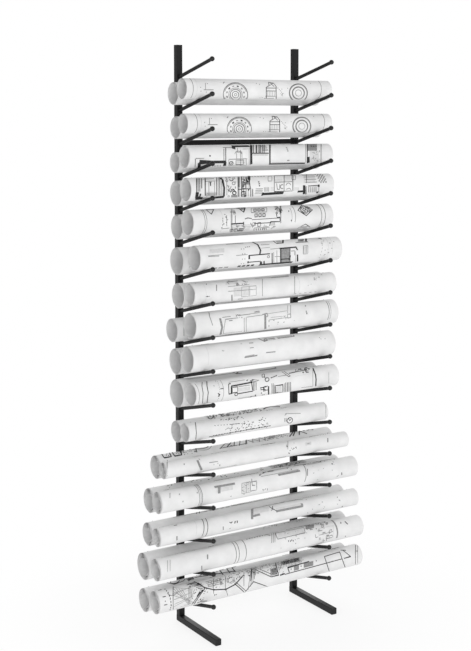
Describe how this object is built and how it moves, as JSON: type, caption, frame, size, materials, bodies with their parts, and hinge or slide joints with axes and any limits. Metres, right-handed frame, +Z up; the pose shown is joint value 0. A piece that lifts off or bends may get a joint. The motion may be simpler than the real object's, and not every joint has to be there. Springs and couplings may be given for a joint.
{
  "type": "drawing roll rack",
  "caption": "Floor rack for rolled drawings: two square-tube uprights on forward feet carry sloping rod arms with ball tips, which hold paper rolls in pairs, tier above tier.",
  "frame": {"origin": "on the floor, midway between the two uprights and midway from the back of the uprights to the front of the feet", "axes": "+X along the rolls to the right, -Y to the front where the feet and arms point, +Z up"},
  "size_m": [0.857, 0.268, 2.018],
  "materials": {
    "powder_coated_steel": "satin black powder coat",
    "arm_tip_plastic": "moulded, half gloss",
    "cap_plastic": "moulded, matt",
    "screw_steel": "black oxide",
    "drawing_paper": "uncoated plotter paper with printed black linework"
  },
  "bodies": {
    "rack": {"left_upright_lower": "powder_coated_steel", "left_upright_middle": "powder_coated_steel", "left_upright_upper": "powder_coated_steel", "left_joiner_low": "powder_coated_steel", "left_joiner_high": "powder_coated_steel", "left_foot": "powder_coated_steel", "left_foot_spigot": "powder_coated_steel", "left_foot_caps": "cap_plastic", "left_top_cap": "cap_plastic", "left_arms": "powder_coated_steel", "left_arm_tips": "arm_tip_plastic", "right_upright_lower": "powder_coated_steel", "right_upright_middle": "powder_coated_steel", "right_upright_upper": "powder_coated_steel", "right_joiner_low": "powder_coated_steel", "right_joiner_high": "powder_coated_steel", "right_foot": "powder_coated_steel", "right_foot_spigot": "powder_coated_steel", "right_foot_caps": "cap_plastic", "right_top_cap": "cap_plastic", "right_arms": "powder_coated_steel", "right_arm_tips": "arm_tip_plastic", "crossbar_upper": "powder_coated_steel", "crossbar_lower": "powder_coated_steel", "crossbar_spigots": "powder_coated_steel", "crossbar_screws": "screw_steel", "upright_screws": "screw_steel"},
    "back_roll_01": {"back_roll_01": "drawing_paper"},
    "front_roll_01": {"front_roll_01": "drawing_paper"},
    "back_roll_02": {"back_roll_02": "drawing_paper"},
    "front_roll_02": {"front_roll_02": "drawing_paper"},
    "back_roll_03": {"back_roll_03": "drawing_paper"},
    "front_roll_03": {"front_roll_03": "drawing_paper"},
    "back_roll_04": {"back_roll_04": "drawing_paper"},
    "front_roll_04": {"front_roll_04": "drawing_paper"},
    "back_roll_05": {"back_roll_05": "drawing_paper"},
    "front_roll_05": {"front_roll_05": "drawing_paper"},
    "back_roll_06": {"back_roll_06": "drawing_paper"},
    "front_roll_06": {"front_roll_06": "drawing_paper"},
    "back_roll_07": {"back_roll_07": "drawing_paper"},
    "front_roll_07": {"front_roll_07": "drawing_paper"},
    "back_roll_08": {"back_roll_08": "drawing_paper"},
    "front_roll_08": {"front_roll_08": "drawing_paper"},
    "back_roll_09": {"back_roll_09": "drawing_paper"},
    "front_roll_09": {"front_roll_09": "drawing_paper"},
    "back_roll_10": {"back_roll_10": "drawing_paper"},
    "front_roll_10": {"front_roll_10": "drawing_paper"},
    "back_roll_11": {"back_roll_11": "drawing_paper"},
    "front_roll_11": {"front_roll_11": "drawing_paper"},
    "back_roll_12": {"back_roll_12": "drawing_paper"},
    "front_roll_12": {"front_roll_12": "drawing_paper"},
    "back_roll_13": {"back_roll_13": "drawing_paper"},
    "front_roll_13": {"front_roll_13": "drawing_paper"},
    "back_roll_14": {"back_roll_14": "drawing_paper"},
    "front_roll_14": {"front_roll_14": "drawing_paper"},
    "back_roll_15": {"back_roll_15": "drawing_paper"},
    "front_roll_15": {"front_roll_15": "drawing_paper"},
    "back_roll_16": {"back_roll_16": "drawing_paper"},
    "front_roll_16": {"front_roll_16": "drawing_paper"}
  },
  "joints": [
    {"name": "back_roll_01_endwise", "type": "slide", "parent": "rack", "child": "back_roll_01", "axis": [1, 0, 0], "range_m": [-0.0445, 0.0385]},
    {"name": "front_roll_01_lift_out", "type": "slide", "parent": "rack", "child": "front_roll_01", "axis": [0, -0.9563, 0.2924], "range_m": [0, 0.18]},
    {"name": "back_roll_02_endwise", "type": "slide", "parent": "rack", "child": "back_roll_02", "axis": [1, 0, 0], "range_m": [-0.0535, 0.0295]},
    {"name": "front_roll_02_lift_out", "type": "slide", "parent": "rack", "child": "front_roll_02", "axis": [0, -0.9563, 0.2924], "range_m": [0, 0.18]},
    {"name": "back_roll_03_endwise", "type": "slide", "parent": "rack", "child": "back_roll_03", "axis": [1, 0, 0], "range_m": [-0.0515, 0.0315]},
    {"name": "front_roll_03_lift_out", "type": "slide", "parent": "rack", "child": "front_roll_03", "axis": [0, -0.9563, 0.2924], "range_m": [0, 0.18]},
    {"name": "back_roll_04_endwise", "type": "slide", "parent": "rack", "child": "back_roll_04", "axis": [1, 0, 0], "range_m": [-0.0515, 0.0315]},
    {"name": "front_roll_04_lift_out", "type": "slide", "parent": "rack", "child": "front_roll_04", "axis": [0, -0.9563, 0.2924], "range_m": [0, 0.18]},
    {"name": "back_roll_05_endwise", "type": "slide", "parent": "rack", "child": "back_roll_05", "axis": [1, 0, 0], "range_m": [-0.0525, 0.0285]},
    {"name": "front_roll_05_lift_out", "type": "slide", "parent": "rack", "child": "front_roll_05", "axis": [0, -0.9563, 0.2924], "range_m": [0, 0.18]},
    {"name": "back_roll_06_endwise", "type": "slide", "parent": "rack", "child": "back_roll_06", "axis": [1, 0, 0], "range_m": [-0.0505, 0.0325]},
    {"name": "front_roll_06_lift_out", "type": "slide", "parent": "rack", "child": "front_roll_06", "axis": [0, -0.9563, 0.2924], "range_m": [0, 0.18]},
    {"name": "back_roll_07_endwise", "type": "slide", "parent": "rack", "child": "back_roll_07", "axis": [1, 0, 0], "range_m": [-0.0565, 0.0265]},
    {"name": "front_roll_07_lift_out", "type": "slide", "parent": "rack", "child": "front_roll_07", "axis": [0, -0.9563, 0.2924], "range_m": [0, 0.18]},
    {"name": "back_roll_08_endwise", "type": "slide", "parent": "rack", "child": "back_roll_08", "axis": [1, 0, 0], "range_m": [-0.0355, 0.0495]},
    {"name": "front_roll_08_lift_out", "type": "slide", "parent": "rack", "child": "front_roll_08", "axis": [0, -0.9563, 0.2924], "range_m": [0, 0.18]},
    {"name": "back_roll_09_endwise", "type": "slide", "parent": "rack", "child": "back_roll_09", "axis": [1, 0, 0], "range_m": [-0.0455, 0.0375]},
    {"name": "front_roll_09_lift_out", "type": "slide", "parent": "rack", "child": "front_roll_09", "axis": [0, -0.9563, 0.2924], "range_m": [0, 0.18]},
    {"name": "back_roll_10_endwise", "type": "slide", "parent": "rack", "child": "back_roll_10", "axis": [1, 0, 0], "range_m": [-0.0255, 0.0365]},
    {"name": "front_roll_10_lift_out", "type": "slide", "parent": "rack", "child": "front_roll_10", "axis": [0, -0.9563, 0.2924], "range_m": [0, 0.18]},
    {"name": "back_roll_11_endwise", "type": "slide", "parent": "rack", "child": "back_roll_11", "axis": [1, 0, 0], "range_m": [-0.0115, 0.0325]},
    {"name": "front_roll_11_lift_out", "type": "slide", "parent": "rack", "child": "front_roll_11", "axis": [0, -0.9563, 0.2924], "range_m": [0, 0.18]},
    {"name": "back_roll_12_endwise", "type": "slide", "parent": "rack", "child": "back_roll_12", "axis": [1, 0, 0], "range_m": [-0.1035, 0.1155]},
    {"name": "front_roll_12_lift_out", "type": "slide", "parent": "rack", "child": "front_roll_12", "axis": [0, -0.9563, 0.2924], "range_m": [0, 0.18]},
    {"name": "back_roll_13_endwise", "type": "slide", "parent": "rack", "child": "back_roll_13", "axis": [1, 0, 0], "range_m": [-0.1375, 0.1425]},
    {"name": "front_roll_13_lift_out", "type": "slide", "parent": "rack", "child": "front_roll_13", "axis": [0, -0.9563, 0.2924], "range_m": [0, 0.18]},
    {"name": "back_roll_14_endwise", "type": "slide", "parent": "rack", "child": "back_roll_14", "axis": [1, 0, 0], "range_m": [-0.1605, 0.1475]},
    {"name": "front_roll_14_lift_out", "type": "slide", "parent": "rack", "child": "front_roll_14", "axis": [0, -0.9563, 0.2924], "range_m": [0, 0.18]},
    {"name": "back_roll_15_endwise", "type": "slide", "parent": "rack", "child": "back_roll_15", "axis": [1, 0, 0], "range_m": [-0.1635, 0.1685]},
    {"name": "front_roll_15_lift_out", "type": "slide", "parent": "rack", "child": "front_roll_15", "axis": [0, -0.9563, 0.2924], "range_m": [0, 0.18]},
    {"name": "back_roll_16_endwise", "type": "slide", "parent": "rack", "child": "back_roll_16", "axis": [1, 0, 0], "range_m": [-0.1725, 0.1635]},
    {"name": "front_roll_16_lift_out", "type": "slide", "parent": "rack", "child": "front_roll_16", "axis": [0, -0.9563, 0.2924], "range_m": [0, 0.18]}
  ]
}
